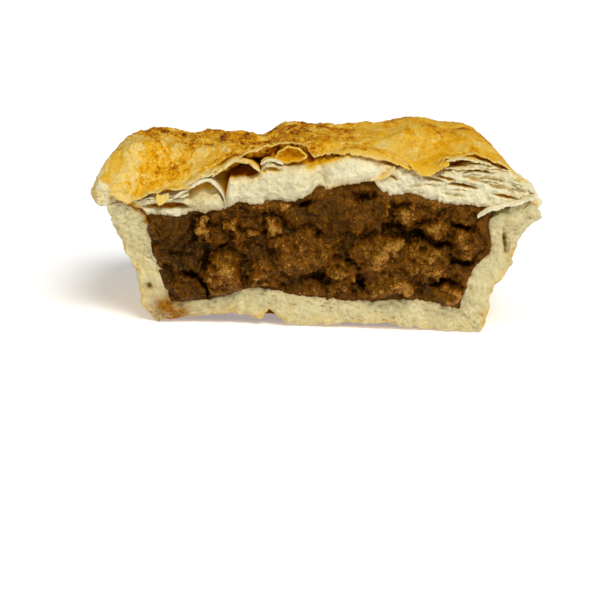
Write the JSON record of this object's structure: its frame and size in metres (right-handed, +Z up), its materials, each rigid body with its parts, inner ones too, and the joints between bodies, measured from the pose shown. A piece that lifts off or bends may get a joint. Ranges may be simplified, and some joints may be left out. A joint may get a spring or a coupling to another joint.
{
  "type": "beef pie",
  "caption": "Half of a rectangular single-serve meat pie, cut across: shortcrust case with tapered walls, minced beef filling and a puffed, flaky pastry lid.",
  "frame": {"origin": "middle of the whole part's bounding box in plan, on the flat underside", "axes": "+X along the cut, left to right as seen from the cut; +Y from the cut towards the back wall; +Z up"},
  "size_m": [0.0884, 0.0516, 0.0392],
  "materials": {
    "shortcrust": "baked shortcrust pastry: cream and crumbly where cut, tan and matte outside",
    "mince": "minced beef bound with thick gravy, moist and brown",
    "puff_pastry": "baked puff pastry: golden brown skin, cream layers where torn"
  },
  "bodies": {
    "root": {"pastry_case": "shortcrust", "filling": "mince", "lid": "puff_pastry"}
  },
  "joints": []
}
